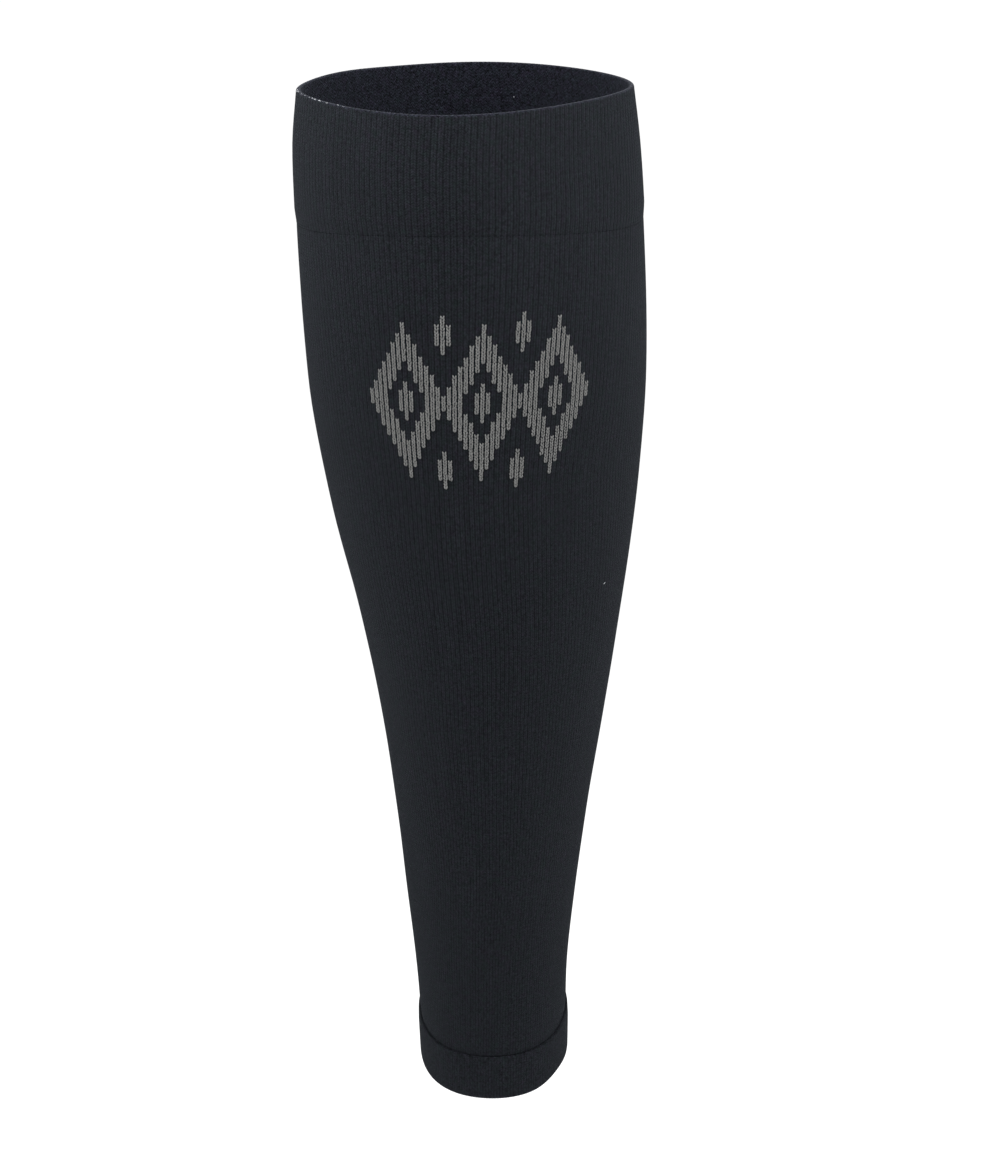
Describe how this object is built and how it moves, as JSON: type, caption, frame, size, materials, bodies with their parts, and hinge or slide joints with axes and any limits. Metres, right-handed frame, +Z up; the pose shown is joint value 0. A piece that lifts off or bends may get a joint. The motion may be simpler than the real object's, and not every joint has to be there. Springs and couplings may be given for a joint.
{
  "type": "calf compression sleeve",
  "caption": "Ribbed knitted compression sleeve for the calf, open at the knee and ankle, with a doubled cuff at the top and a narrow doubled hem band at the ankle.",
  "frame": {"origin": "middle of the leg at the fullest section of the calf, where the worn sleeve is held", "axes": "+Z up along the leg to the knee, -Y towards the shin, +X to the viewer's right as the shin is faced"},
  "size_m": [0.1209, 0.1153, 0.37],
  "materials": {
    "cuff_knit": "matt ribbed knit, charcoal",
    "body_knit": "matt ribbed knit, charcoal with a mid-grey knitted-in motif",
    "hem_knit": "matt ribbed knit, charcoal"
  },
  "bodies": {
    "root": {"top_welt": "cuff_knit", "calf_tube": "body_knit", "ankle_welt": "hem_knit"}
  },
  "joints": []
}
